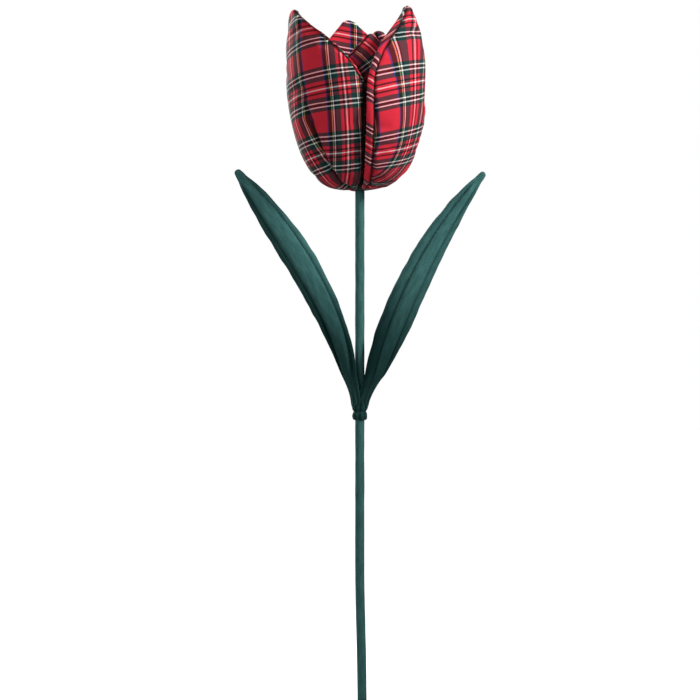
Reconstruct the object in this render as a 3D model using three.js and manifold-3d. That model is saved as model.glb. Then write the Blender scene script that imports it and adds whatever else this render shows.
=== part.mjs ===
// Artificial tulip: padded tartan petals on a sleeved wire stem with two wired velvet leaves.
// Units are millimetres. +Z is up, -Y is the front, and the origin is the cut end of the stem.
import * as THREE from "three";
import { mergeVertices } from "three/addons/utils/BufferGeometryUtils.js";
import Module from "manifold-3d";

const wasm = await Module();
wasm.setup();

// Clearances and cloth
const FIT_GAP = 0.3; // between two pieces that touch
const CLOTH = 0.8; // thickness of the tartan and of the velvet
const PETAL_GAP = 1.2; // between the edges of neighbouring petals
const NEST_GAP = 1.5; // between the outer ring of petals and the inner one

// Stem
const STEM_LENGTH = 483; // cut end to the underside of the flower head
const STEM_BOW = 2.1; // sideways set of the stem towards -X
const BOW_HEIGHT = 130; // height over which the stem takes that set
const WIRE_RADIUS = 1.4;
const TUBE_RADIUS = 3.3;
const NECK_LENGTH = 26; // soft length under the head, where only the wire is stiff
const NECK_PIVOT_DROP = 13; // from the head down to the middle of the neck's bend
const PIVOT_SLACK = 0.9; // half the gap between the two wires at the bend

// Flower head, heights from its underside
const SHOULDER_HEIGHT = 88; // where the petals start to narrow
const PETAL_THICKNESS = 10;
const ROOT_THICKNESS = 6.2;
const TIP_THICKNESS = 6.4;
const TIP_HALF_WIDTH = 4;
const PETAL_CROWN = 4; // how far a petal's edges fall back from its middle
const LIP_CROWN = 0.5; // the same at the edge that stands in front of its neighbour
const TUCK_CROWN = 9; // the same at the edge that tucks in behind it
const SEAM_INSET = 7; // from a petal's edge to its seam on the outer face
const SEAM_SHARE = 0.3; // most of a narrow petal's half width that the inset may take
const PETAL_WIRE_RADIUS = 0.8;
const PETAL_WIRE_SHARE = 0.8; // of the petal's length
const SECTION_POWER = 2.6; // roundness of a petal's section, 2 being an ellipse
const ROOT_FILL_SHARE = 0.3; // of a petal's length in which it reaches full thickness
const CROWN_SHARE = 0.4; // of a petal's length in which it reaches full crown
const TIP_FADE_START = 0.55; // of a petal's length, where it starts to thin towards its tip
const BOWL_RISE_POWER = 4 / 3; // how flat the floor of the cup is
const BOWL_REACH_POWER = 0.58; // how soon the floor of the cup reaches its side
const WALL_POWER = 1.7; // how late the wall of the cup leans in

// Inner ring of petals
const INNER_THICKNESS = 8;
const INNER_WAIST = 70;
const INNER_MOUTH_RADIUS = 38;
const INNER_SHOULDER_HEIGHT = 92;
const INNER_CROWN = 3;

// Core that the petals stand on
const CORE_RADIUS = 6;
const CORE_HEIGHT = 34;
const CORE_CAP = 4; // solid top above the wire
const CORE_BEVEL = 1.2;

// Leaves
const BINDING_HEIGHT = 15;
const BINDING_Z = 267; // underside of the binding
const BINDING_WALL = 3;
const BINDING_BULGE = 1.4; // of the wall, how far the profile's handle stands out
const BINDING_BELLY = 0.6; // of the height, where the binding is widest
const BINDING_LIP = 0.7; // of the wall, how far the top handle stands out
const GATHERS = 9;
const GATHER_DEPTH = 0.5;
const LEAF_HALF_WIDTH = 17.5;
const LEAF_ROOT_HALF_WIDTH = 8.6;
const LEAF_TIP_HALF_WIDTH = 3.2;
const LEAF_WIRE_RADIUS = 0.8;
const LEAF_WIRE_SHARE = 0.95; // of the leaf's length
const LEAF_RIB_WIDTH = 3.4; // spread of the raised channel over the wire
const LEAF_ROOT_GAP = 0.9; // between a leaf's root and the stem
const LEAF_ROOT_AZIMUTH = 72; // degrees from the front, where a leaf's ridge stands at its root
const LEAF_TURN_SHARE = 0.35; // of its length in which the ridge turns
const LEAF_OPEN_SHARE = 0.2; // of its length in which it opens from the stem
const LEAF_FOLD = 26; // degrees that each half falls back from the ridge
const LEAF_SWELL_POWER = 0.8; // below 1 the leaf is fuller towards its ends

// Petals, with azimuths in degrees from the front towards +X. Each outer petal has the radius of its outer
// face at its widest, the height of that waist, the radius at its tip, and how full its shoulders are.
// The crowns are those of its edge on the minus side and on the plus side.
const OUTER_SEAMS = [9, 125, 242];
const OUTER_PETALS = [
  { name: "petal_right", tip: 62, height: 171.5, radius: 65, waist: 77, mouth: 54, taper: 2 },
  { name: "petal_back", tip: 191, height: 171, radius: 66, waist: 90, mouth: 60, taper: 1.6 },
  { name: "petal_left", tip: 287, height: 166.5, radius: 70, waist: 104, mouth: 65, taper: 1.4 },
];
const OUTER_CROWNS = [
  [LIP_CROWN, PETAL_CROWN],
  [PETAL_CROWN, PETAL_CROWN],
  [PETAL_CROWN, TUCK_CROWN],
];
const INNER_SEAMS = [-46, 74, 189];
const INNER_PETALS = [
  { name: "inner_petal_front", tip: 18, height: 144, taper: 1.3 },
  { name: "inner_petal_right", tip: 150, height: 157, taper: 1.3 },
  { name: "inner_petal_left", tip: 248, height: 138, taper: 1.3 },
];

// Leaf lines: side of the stem, degrees from the front that the ridge faces outwards above the root, skew,
// below 1 where the widest place is under the middle, tip place from the stem's middle at the leaf's root,
// and how far the line leans out at its root and its tip
const LEAVES = [
  {
    name: "leaf_left",
    side: -1,
    ridge: -2,
    skew: 1.2,
    tip: [-115.5, -10, 217],
    rootLean: [-14, -4, 87],
    tipLean: [-59, 4, 76],
  },
  {
    name: "leaf_right",
    side: 1,
    ridge: -6,
    skew: 0.7,
    tip: [117, 8, 217],
    rootLean: [24, -6, 74],
    tipLean: [67, 10, 77],
  },
];

// Fineness of the meshes
const WELD = 1e-4; // points closer than this are one
const STEM_SIDES = 16;
const STEM_STEPS = 12;
const WIRE_SIDES = 8;
const SIDES_PER_GATHER = 4;
const BINDING_STEPS = 6;
const PETAL_ROWS = 12;
const PETAL_WIRE_STEPS = 12;
const FACE_COLUMNS = 7;
const LEAF_ROWS = 16;
const LEAF_WIRE_STEPS = 12;
const LEAF_ACROSS = [-1, -0.6, -0.26, -0.1, 0, 0.1, 0.26, 0.6, 1];
const SLOPE_STEP = 0.05; // either side of a place where a leaf's slope is measured
const FULL_TURN = 360;

const rad = THREE.MathUtils.degToRad;
const { clamp, lerp, smoothstep } = THREE.MathUtils;

// Sizes that follow from those above
const coverBore = TUBE_RADIUS + FIT_GAP;
const coverRadius = coverBore + CLOTH;
const headZ = STEM_LENGTH + FIT_GAP;
const pivotZ = STEM_LENGTH - NECK_PIVOT_DROP;
const rootRadius = CORE_RADIUS + FIT_GAP;
const bindingTop = BINDING_Z + BINDING_HEIGHT;
const leafRootZ = bindingTop + FIT_GAP;

// Materials
function finish(color, roughness, metalness = 0) {
  return new THREE.MeshStandardMaterial({ color, roughness, metalness });
}
const tartan = finish(0xb01c2e, 0.85);
const velvet = finish(0x1f4a47, 0.9);
const wadding = finish(0xe9e4da, 0.95);
const steel = finish(0x8d9094, 0.35, 1);
const plastic = finish(0x2c5a4c, 0.55);

// Mesh helpers

function piece(name, geometry, material) {
  const mesh = new THREE.Mesh(geometry, material);
  mesh.name = name;
  return mesh;
}

// A closed body from points and triangles, turned so that its faces point out.
function closedBody(points, faces) {
  let volume = 0;
  for (let i = 0; i < faces.length; i += 3) {
    const [a, b, c] = [points[faces[i]], points[faces[i + 1]], points[faces[i + 2]]];
    volume += a.dot(b.clone().cross(c));
  }
  const geometry = new THREE.BufferGeometry().setFromPoints(points);
  geometry.setIndex(volume < 0 ? faces.reverse() : faces);
  geometry.computeVertexNormals();
  return geometry;
}

// A strip of cloth between two sheets of points that have the same rows and columns.
function clothBody(face, lining) {
  const rows = face.length;
  const columns = face[0].length;
  const [top, right] = [rows - 1, columns - 1];
  const faces = [];
  const at = (layer, row, column) => (layer * rows + row) * columns + column;
  const quad = (a, b, c, d) => faces.push(a, b, c, a, c, d);
  for (let r = 0; r < rows - 1; r++) {
    for (let c = 0; c < columns - 1; c++) {
      quad(at(0, r, c), at(0, r, c + 1), at(0, r + 1, c + 1), at(0, r + 1, c));
      quad(at(1, r, c), at(1, r + 1, c), at(1, r + 1, c + 1), at(1, r, c + 1));
    }
    quad(at(0, r, 0), at(0, r + 1, 0), at(1, r + 1, 0), at(1, r, 0));
    quad(at(1, r, right), at(1, r + 1, right), at(0, r + 1, right), at(0, r, right));
  }
  for (let c = 0; c < columns - 1; c++) {
    quad(at(1, 0, c), at(1, 0, c + 1), at(0, 0, c + 1), at(0, 0, c));
    quad(at(0, top, c), at(0, top, c + 1), at(1, top, c + 1), at(1, top, c));
  }
  return closedBody([...face.flat(), ...lining.flat()], faces);
}

// A closed body lofted through rings of points. A ring starts at one edge and its second half mirrors its
// first, so each end closes from every point to the one opposite.
function loftBody(rings) {
  const sides = rings[0].length;
  const faces = [];
  const wall = (low, high) => {
    for (let c = 0; c < sides; c++) {
      const next = (c + 1) % sides;
      faces.push(low + c, low + next, high + next, low + c, high + next, high + c);
    }
  };
  const end = (ring, flip) => {
    for (let c = 0; c < sides / 2; c++) {
      const [a, b, d, e] = [c, c + 1, sides - c - 1, (sides - c) % sides].map((i) => ring + i);
      const corners = [];
      if (b !== d) corners.push(a, d, b);
      if (a !== e) corners.push(a, e, d);
      faces.push(...(flip ? corners.reverse() : corners));
    }
  };
  for (let r = 0; r < rings.length - 1; r++) wall(r * sides, (r + 1) * sides);
  end(0, false);
  end((rings.length - 1) * sides, true);
  return closedBody(rings.flat(), faces);
}

// A round rod or pipe along a curve.
function rodAlong(curve, radius, steps, sides, bore = 0) {
  const shape = new THREE.Shape().absarc(0, 0, radius, 0, 2 * Math.PI);
  if (bore > 0) shape.holes.push(new THREE.Path().absarc(0, 0, bore, 0, 2 * Math.PI, true));
  return new THREE.ExtrudeGeometry(shape, { steps, curveSegments: sides / 2, extrudePath: curve });
}

function toSolid(geometry) {
  const bare = geometry.clone();
  bare.deleteAttribute("normal");
  bare.deleteAttribute("uv");
  const merged = mergeVertices(bare, WELD);
  const mesh = { numProp: 3, vertProperties: merged.attributes.position.array };
  return new wasm.Manifold(new wasm.Mesh({ ...mesh, triVerts: new Uint32Array(merged.index.array) }));
}

function cutFrom(geometry, tool) {
  const mesh = toSolid(geometry).subtract(toSolid(tool)).getMesh();
  const cut = new THREE.BufferGeometry();
  cut.setAttribute("position", new THREE.BufferAttribute(new Float32Array(mesh.vertProperties), 3));
  cut.setIndex(new THREE.BufferAttribute(new Uint32Array(mesh.triVerts), 1));
  cut.computeVertexNormals();
  return cut;
}

// Stem

// The stem's middle line: straight up, with a gentle set to one side near the bottom.
class StemLine extends THREE.Curve {
  constructor(from, to) {
    super();
    Object.assign(this, { from, to });
  }
  getPoint(t, target = new THREE.Vector3()) {
    const z = lerp(this.from, this.to, t);
    return target.set(-STEM_BOW * smoothstep(z, 0, BOW_HEIGHT), 0, z);
  }
}

function stemPieces() {
  const pipe = (radius, bore, top) => rodAlong(new StemLine(0, top), radius, STEM_STEPS, STEM_SIDES, bore);
  return [
    piece("stem_wire", pipe(WIRE_RADIUS, 0, pivotZ - PIVOT_SLACK), steel),
    piece("stem_tube", pipe(TUBE_RADIUS, WIRE_RADIUS + FIT_GAP, STEM_LENGTH - NECK_LENGTH), plastic),
    piece("stem_sleeve", pipe(coverRadius, coverBore, STEM_LENGTH), velvet),
  ];
}

// The gathered cloth ring that binds the leaves to the stem.
function leafBinding() {
  const bore = coverRadius + FIT_GAP;
  const outside = bore + BINDING_WALL;
  const bulge = bore + BINDING_WALL * BINDING_BULGE;
  const lip = bore + BINDING_WALL * BINDING_LIP;
  const profile = new THREE.Path();
  profile.moveTo(bore, 0);
  profile.bezierCurveTo(outside, 0, bulge, BINDING_HEIGHT / 2, outside, BINDING_HEIGHT * BINDING_BELLY);
  profile.quadraticCurveTo(lip, BINDING_HEIGHT, bore, BINDING_HEIGHT);
  profile.closePath();
  const geometry = new THREE.LatheGeometry(profile.getPoints(BINDING_STEPS), GATHERS * SIDES_PER_GATHER);
  const places = geometry.getAttribute("position");
  for (let i = 0; i < places.count; i++) {
    const [x, y] = [places.getX(i), places.getZ(i)];
    const reach = Math.hypot(x, y);
    const proud = (reach - bore) / BINDING_WALL;
    const fold = 1 + (proud * GATHER_DEPTH * Math.cos(GATHERS * Math.atan2(y, x))) / reach;
    places.setX(i, x * fold);
    places.setZ(i, y * fold);
  }
  geometry.rotateX(Math.PI / 2);
  geometry.translate(-STEM_BOW, 0, BINDING_Z);
  return piece("leaf_binding", geometry, velvet);
}

// Petals

const BOWL_SHARE = 0.5; // of a cup line's parameter that draws the bowl

// The outer face of a ring of petals in its radial plane: a bowl with a flat floor, then a wall to the
// mouth.
class CupLine extends THREE.Curve {
  constructor(size) {
    super();
    Object.assign(this, size);
  }
  getPoint(t, target = new THREE.Vector2()) {
    const { radius, waist, mouth, height, floor } = this;
    if (t <= BOWL_SHARE) {
      const turn = ((t / BOWL_SHARE) * Math.PI) / 2;
      const rise = 1 - Math.max(Math.cos(turn), 0) ** BOWL_RISE_POWER;
      return target.set(radius * Math.sin(turn) ** BOWL_REACH_POWER, floor + waist * rise);
    }
    const rise = (t - BOWL_SHARE) / (1 - BOWL_SHARE);
    return target.set(lerp(radius, mouth, rise ** WALL_POWER), lerp(floor + waist, height, rise));
  }
}

// One petal: where each point of its padded section lies. share runs from root to tip, across from -1 to 1
// over its width, and lift is along its outward normal from the middle of its thickness.
class Petal {
  constructor(form) {
    Object.assign(this, form);
    this.line = new CupLine(form);
    this.start = rootRadius / this.line.getLength();
  }
  station(share) {
    const u = lerp(this.start, 1, share);
    const point = this.line.getPointAt(u);
    const along = this.line.getTangentAt(u);
    const normal = new THREE.Vector2(along.y, -along.x);
    const fade = smoothstep(share, TIP_FADE_START, 1);
    const full = lerp(ROOT_THICKNESS, this.thickness, smoothstep(share, 0, ROOT_FILL_SHARE));
    const half = lerp(full, TIP_THICKNESS, fade ** 2) / 2;
    const middle = point.addScaledVector(normal, -half);
    const above = (middle.y - this.shoulder) / (this.height - this.shoulder);
    const narrow = clamp(above, 0, 1) ** this.taper;
    const arch = smoothstep(share, 0, CROWN_SHARE) * (1 - fade);
    return { middle, normal, half, narrow, arch };
  }
  halfWidth(station, side) {
    const spread = side > 0 ? this.to - this.tip : this.tip - this.from;
    const full = rad(spread) * station.middle.x - PETAL_GAP / 2;
    return lerp(full, TIP_HALF_WIDTH, station.narrow);
  }
  place(station, across, lift) {
    const width = this.halfWidth(station, across);
    const crown = this.crowns[across > 0 ? 1 : 0] * station.arch;
    const rise = lift - crown * across ** 2;
    const flat = station.middle.clone().addScaledVector(station.normal, rise);
    const turn = rad(this.tip) + (across * width) / station.middle.x;
    return new THREE.Vector3(flat.x * Math.sin(turn), -flat.x * Math.cos(turn), flat.y);
  }
  // A point of the section at an angle round it, on a layer that lies inside the cloth's outer face.
  around(station, angle, depth) {
    const power = 2 / SECTION_POWER;
    const rounded = (value) => Math.sign(value) * Math.abs(value) ** power;
    const across = rounded(Math.cos(angle));
    const width = this.halfWidth(station, across);
    const lift = rounded(Math.sin(angle)) * (station.half - depth);
    return this.place(station, across * (1 - depth / width), lift);
  }
  // The angle of the seam on one side, moved from the seam towards the edge by shift.
  seamAngle(station, side, shift) {
    const width = this.halfWidth(station, side);
    const inset = Math.min(SEAM_INSET, SEAM_SHARE * width) - shift;
    const angle = Math.acos((1 - inset / width) ** (SECTION_POWER / 2));
    return side > 0 ? angle : Math.PI - angle;
  }
  stations() {
    return Array.from({ length: PETAL_ROWS + 1 }, (_, row) => this.station(row / PETAL_ROWS));
  }
  // Angles over the outer face from seam to seam.
  faceAngles(station, shift) {
    const [from, to] = [this.seamAngle(station, 1, shift), this.seamAngle(station, -1, shift)];
    return Array.from({ length: FACE_COLUMNS + 1 }, (_, c) => lerp(from, to, c / FACE_COLUMNS));
  }
  // Angles from the seam on the minus side, round that edge, over the inner face and round the other edge.
  liningAngles(station, shift) {
    const turn = 2 * Math.PI;
    const face = this.faceAngles(station, shift);
    const [plus, minus] = [face[0], face.at(-1)];
    const edge = (minus + Math.PI) / 2;
    const start = [minus, edge, Math.PI, turn - edge];
    const inside = face.map((angle) => turn - angle).reverse();
    return [...start, ...inside, turn - plus / 2, turn, turn + plus / 2, turn + plus];
  }
  panel(angles) {
    const sheet = (depth) =>
      this.stations().map((station) => angles(station).map((angle) => this.around(station, angle, depth)));
    return clothBody(sheet(0), sheet(CLOTH));
  }
  face() {
    return this.panel((station) => this.faceAngles(station, -FIT_GAP / 2));
  }
  lining() {
    return this.panel((station) => this.liningAngles(station, FIT_GAP / 2));
  }
  // A round rod from the petal's root towards its tip, through the middle of the padding. The overrun
  // carries both ends further along their own direction.
  rod(radius, overrun) {
    const line = Array.from({ length: PETAL_WIRE_STEPS + 1 }, (_, i) => {
      const share = (PETAL_WIRE_SHARE * i) / PETAL_WIRE_STEPS;
      return this.place(this.station(share), 0, 0);
    });
    const lengthen = (end, before) => end.add(end.clone().sub(before).setLength(overrun));
    if (overrun > 0) {
      lengthen(line[0], line[1]);
      lengthen(line.at(-1), line.at(-2));
    }
    const sideways = new THREE.Vector3(Math.cos(rad(this.tip)), Math.sin(rad(this.tip)), 0);
    const rings = line.map((point, i) => {
      const [before, after] = [line[Math.max(i - 1, 0)], line[Math.min(i + 1, PETAL_WIRE_STEPS)]];
      const along = after.clone().sub(before).normalize();
      const out = new THREE.Vector3().crossVectors(along, sideways);
      return Array.from({ length: WIRE_SIDES }, (_, side) => {
        const angle = (2 * Math.PI * side) / WIRE_SIDES;
        return point
          .clone()
          .addScaledVector(sideways, radius * Math.cos(angle))
          .addScaledVector(out, radius * Math.sin(angle));
      });
    });
    return loftBody(rings);
  }
  padding() {
    const depth = CLOTH + FIT_GAP;
    const ring = (station) => {
      const face = this.faceAngles(station, 0);
      const lining = this.liningAngles(station, 0);
      const angles = [...lining.slice(-3, -1), ...face, ...lining.slice(1, -3)];
      return angles.map((angle) => this.around(station, angle, depth));
    };
    const channel = this.rod(PETAL_WIRE_RADIUS + FIT_GAP, FIT_GAP);
    return cutFrom(loftBody(this.stations().map(ring)), channel);
  }
  pieces() {
    return [
      piece(`${this.name}_face`, this.face(), tartan),
      piece(`${this.name}_lining`, this.lining(), tartan),
      piece(`${this.name}_padding`, this.padding(), wadding),
      piece(`${this.name}_wire`, this.rod(PETAL_WIRE_RADIUS, 0), steel),
    ];
  }
}

function petalRing(petals, seams, crowns, shared) {
  return petals.flatMap((petal, i) => {
    const from = seams[i];
    const to = i + 1 < seams.length ? seams[i + 1] : seams[0] + FULL_TURN;
    return new Petal({ ...shared, ...petal, crowns: crowns[i], from, to }).pieces();
  });
}

// Core and head wire

function flowerCore() {
  const bore = WIRE_RADIUS + FIT_GAP;
  const outline = [
    [bore, 0],
    [CORE_RADIUS, 0],
    [CORE_RADIUS, CORE_HEIGHT - CORE_BEVEL],
    [CORE_RADIUS - CORE_BEVEL, CORE_HEIGHT],
    [0, CORE_HEIGHT],
    [0, CORE_HEIGHT - CORE_CAP],
    [bore, CORE_HEIGHT - CORE_CAP],
    [bore, 0],
  ];
  const geometry = new THREE.LatheGeometry(outline.map(([r, z]) => new THREE.Vector2(r, z)), STEM_SIDES);
  geometry.rotateX(Math.PI / 2);
  return piece("flower_core", geometry, plastic);
}

function headWire() {
  const bottom = pivotZ + PIVOT_SLACK - headZ;
  const length = CORE_HEIGHT - CORE_CAP - FIT_GAP - bottom;
  const geometry = new THREE.CylinderGeometry(WIRE_RADIUS, WIRE_RADIUS, length, STEM_SIDES);
  geometry.rotateX(Math.PI / 2);
  geometry.translate(0, 0, bottom + length / 2);
  return piece("head_wire", geometry, steel);
}

function flowerHead() {
  const head = new THREE.Group();
  head.position.set(-STEM_BOW, 0, headZ);
  const outer = {
    shoulder: SHOULDER_HEIGHT,
    thickness: PETAL_THICKNESS,
    floor: 0,
  };
  const leastRadius = Math.min(...OUTER_PETALS.map((petal) => petal.radius));
  const inner = {
    radius: leastRadius - PETAL_THICKNESS - PETAL_CROWN - NEST_GAP,
    waist: INNER_WAIST,
    mouth: INNER_MOUTH_RADIUS,
    shoulder: INNER_SHOULDER_HEIGHT,
    thickness: INNER_THICKNESS,
    floor: PETAL_THICKNESS + NEST_GAP,
  };
  head.add(flowerCore(), headWire());
  const innerCrowns = INNER_PETALS.map(() => [INNER_CROWN, INNER_CROWN]);
  head.add(...petalRing(OUTER_PETALS, OUTER_SEAMS, OUTER_CROWNS, outer));
  head.add(...petalRing(INNER_PETALS, INNER_SEAMS, innerCrowns, inner));
  return head;
}

// Leaves

// One leaf: two velvet panels over a wire. It wraps the stem at its root and opens upwards into a shallow
// roof with the wire along its ridge.
class Leaf {
  constructor(form) {
    Object.assign(this, form);
    this.bend = coverRadius + LEAF_ROOT_GAP + CLOTH + LEAF_WIRE_RADIUS + FIT_GAP;
    const middle = new THREE.Vector3(-STEM_BOW, 0, leafRootZ);
    const root = middle.clone().addScaledVector(this.facing(0), this.bend);
    const tip = middle.clone().add(new THREE.Vector3(...form.tip));
    const low = root.clone().add(new THREE.Vector3(...form.rootLean));
    const high = tip.clone().sub(new THREE.Vector3(...form.tipLean));
    this.line = new THREE.CubicBezierCurve3(root, low, high, tip);
  }
  // The level direction that the ridge faces: away from the stem at the root, to the front further up.
  facing(share) {
    const turned = smoothstep(share, 0, LEAF_TURN_SHARE);
    const turn = rad(lerp(LEAF_ROOT_AZIMUTH, this.ridge, turned));
    return new THREE.Vector3(this.side * Math.sin(turn), -Math.cos(turn), 0);
  }
  halfWidth(share) {
    const swell = Math.sin(Math.PI * share ** this.skew) ** LEAF_SWELL_POWER;
    const ends = lerp(LEAF_ROOT_HALF_WIDTH, LEAF_TIP_HALF_WIDTH, share);
    return ends + (LEAF_HALF_WIDTH - ends) * swell;
  }
  // The leaf's section, across the leaf and out of its ridge: an arc round the stem at the root, a roof
  // above.
  section(share, reach) {
    const curl = 1 - smoothstep(share, 0, LEAF_OPEN_SHARE);
    const wrap = reach / this.bend;
    const fold = rad(LEAF_FOLD);
    const drop = Math.sqrt(reach ** 2 + LEAF_RIB_WIDTH ** 2 / 4) - LEAF_RIB_WIDTH / 2;
    const across = lerp(reach * Math.cos(fold), this.bend * Math.sin(wrap), curl);
    const back = lerp(drop * Math.sin(fold), this.bend * (1 - Math.cos(wrap)), curl);
    return new THREE.Vector2(across, -back);
  }
  // A point across the leaf, lifted off the wire to the front or the back, side being 1 or -1.
  place(share, across, side, lift) {
    const open = smoothstep(share, 0, LEAF_OPEN_SHARE);
    const along = new THREE.Vector3(0, 0, 1).lerp(this.line.getTangentAt(share), open).normalize();
    const ridge = this.facing(share);
    ridge.addScaledVector(along, -ridge.dot(along)).normalize();
    const sideways = new THREE.Vector3().crossVectors(along, ridge);
    const reach = across * this.halfWidth(share);
    const before = this.section(share, reach - SLOPE_STEP);
    const slope = this.section(share, reach + SLOPE_STEP).sub(before).normalize();
    const out = new THREE.Vector2(-slope.y, slope.x);
    const rib = Math.exp(-((reach / LEAF_RIB_WIDTH) ** 2));
    const clear = lerp(FIT_GAP / 2, LEAF_WIRE_RADIUS + FIT_GAP, rib) + lift;
    const flat = this.section(share, reach).addScaledVector(out, side * clear);
    return this.line.getPointAt(share).addScaledVector(sideways, flat.x).addScaledVector(ridge, flat.y);
  }
  panel(side) {
    const sheet = (lift) =>
      Array.from({ length: LEAF_ROWS + 1 }, (_, row) =>
        LEAF_ACROSS.map((across) => this.place(row / LEAF_ROWS, across, side, lift)),
      );
    return clothBody(sheet(CLOTH), sheet(0));
  }
  wire() {
    const points = Array.from({ length: LEAF_WIRE_STEPS + 1 }, (_, i) =>
      this.line.getPointAt((LEAF_WIRE_SHARE * i) / LEAF_WIRE_STEPS),
    );
    return rodAlong(new THREE.CatmullRomCurve3(points), LEAF_WIRE_RADIUS, LEAF_ROWS, WIRE_SIDES);
  }
  pieces() {
    return [
      piece(`${this.name}_front`, this.panel(1), velvet),
      piece(`${this.name}_back`, this.panel(-1), velvet),
      piece(`${this.name}_wire`, this.wire(), steel),
    ];
  }
}

// Assembly

const tulip = new THREE.Group();
tulip.add(...stemPieces(), leafBinding(), flowerHead());
tulip.add(...LEAVES.flatMap((leaf) => new Leaf(leaf).pieces()));

export default tulip;
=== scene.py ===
# %% [markdown]
# # Artificial tulip
# A tulip sewn from cloth: three outer petals and three inner ones of padded red tartan, a stem sleeved
# in dark green velvet, and two velvet leaves on wires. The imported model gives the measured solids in
# metres, and this lesson dresses them: each cloth piece is made again as sewn, stuffed or stretched
# cloth where its solid stands.

# %% The measured model
import math

import bmesh
import bpy
import numpy as np
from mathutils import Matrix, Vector, noise


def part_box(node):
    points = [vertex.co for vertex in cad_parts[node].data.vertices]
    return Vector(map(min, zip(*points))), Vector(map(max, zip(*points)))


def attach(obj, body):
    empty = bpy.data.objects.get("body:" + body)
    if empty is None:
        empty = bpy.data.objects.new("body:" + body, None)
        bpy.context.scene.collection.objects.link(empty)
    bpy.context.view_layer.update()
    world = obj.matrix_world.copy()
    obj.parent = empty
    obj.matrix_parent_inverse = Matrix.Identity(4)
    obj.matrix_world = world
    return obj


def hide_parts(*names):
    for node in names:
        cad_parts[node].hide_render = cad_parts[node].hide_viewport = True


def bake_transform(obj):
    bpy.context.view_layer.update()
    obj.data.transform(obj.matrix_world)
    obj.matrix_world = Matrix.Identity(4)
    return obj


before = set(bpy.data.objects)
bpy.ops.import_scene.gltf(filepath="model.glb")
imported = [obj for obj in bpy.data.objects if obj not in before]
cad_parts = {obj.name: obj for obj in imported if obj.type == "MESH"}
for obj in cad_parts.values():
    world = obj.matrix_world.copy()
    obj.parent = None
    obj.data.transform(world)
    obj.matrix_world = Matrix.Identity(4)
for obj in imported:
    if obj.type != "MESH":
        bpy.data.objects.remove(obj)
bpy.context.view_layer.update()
MM = 0.001

# %% [markdown]
# ## Dyes and shader nodes
# Colours are written as they look on a screen and turned into the linear numbers that shaders mix. A
# material is a tree of small nodes, so a few helpers that add a node, feed its sockets and do one sum
# keep the recipes short.

# %% Node helpers
# the Mix node has sockets for numbers and vectors too, and these are its share and its colours
MIX_SHARE, MIX_FIRST, MIX_SECOND, MIX_RESULT = 0, 6, 7, 2


def dye(red, green, blue):
    """A screen colour, 0 to 255 each, as a linear colour."""
    shares = [value / 255 for value in (red, green, blue)]
    return tuple(s / 12.92 if s <= 0.04045 else ((s + 0.055) / 1.055) ** 2.4 for s in shares) + (1.0,)


def add_node(tree, kind, **settings):
    node = tree.nodes.new(kind)
    for key, value in settings.items():
        setattr(node, key, value)
    return node


def feed(tree, socket, value):
    """Links a socket to another one, or sets its own number or colour."""
    if isinstance(value, bpy.types.NodeSocket):
        tree.links.new(value, socket)
    else:
        socket.default_value = value


def fed_node(tree, kind, inputs, output, **settings):
    """A node with its inputs fed, by name or by number. Gives back one of its outputs."""
    node = add_node(tree, kind, **settings)
    for key, value in inputs.items():
        feed(tree, node.inputs[key], value)
    return node.outputs[output]


def sum_node(tree, operation, *values):
    return fed_node(tree, "ShaderNodeMath", dict(enumerate(values)), 0, operation=operation)


def range_node(tree, value, low, high, to_low, to_high):
    inputs = dict(enumerate((value, low, high, to_low, to_high)))
    return fed_node(tree, "ShaderNodeMapRange", inputs, 0)


def mix_colours(tree, share, first, second, mode="MIX"):
    inputs = {MIX_SHARE: share, MIX_FIRST: first, MIX_SECOND: second}
    return fed_node(tree, "ShaderNodeMix", inputs, MIX_RESULT, data_type="RGBA", blend_type=mode)


def noise_node(tree, place, size, detail=2.0, roughness=0.5):
    """Noise with spots of about the given size."""
    inputs = {"Vector": place, "Scale": 1 / size, "Detail": detail, "Roughness": roughness}
    return fed_node(tree, "ShaderNodeTexNoise", inputs, "Fac")


def bump_node(tree, height, strength, distance):
    inputs = {"Height": height, "Strength": strength, "Distance": distance}
    return fed_node(tree, "ShaderNodeBump", inputs, "Normal")


def new_material(name, **constants):
    """A material with one Principled shader, and the tree that will feed it."""
    material = bpy.data.materials.new(name)
    material.use_nodes = True
    tree = material.node_tree
    shader = tree.nodes["Principled BSDF"]
    for label, value in constants.items():
        shader.inputs[label.replace("_", " ")].default_value = value
    return material, tree, shader.inputs


print("white dye in linear light:", [round(value, 3) for value in dye(255, 255, 255)])

# %% [markdown]
# ## Two cloths, one recipe
# Tartan and velvet both get their colour and their small relief from a place on the flat cloth, so
# each is a node group with the same sockets, and one recipe makes a material of it. Light hardly gets
# into a tight fold, so that shade is painted in: each mesh gives its points a fold value for how much
# painted shade they get, and the recipe darkens the cloth by that.

# %% Cloth helpers
NOISE_REACH = (0.2, 0.8)


def cloth_group(name):
    """A node group from a place on the flat cloth to a colour and a height, and its inner ends."""
    tree = bpy.data.node_groups.new(name, "ShaderNodeTree")
    tree.interface.new_socket("Cloth", in_out="INPUT", socket_type="NodeSocketVector")
    tree.interface.new_socket("Color", in_out="OUTPUT", socket_type="NodeSocketColor")
    tree.interface.new_socket("Height", in_out="OUTPUT", socket_type="NodeSocketFloat")
    place = add_node(tree, "NodeGroupInput").outputs["Cloth"]
    return tree, place, add_node(tree, "NodeGroupOutput").inputs


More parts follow.
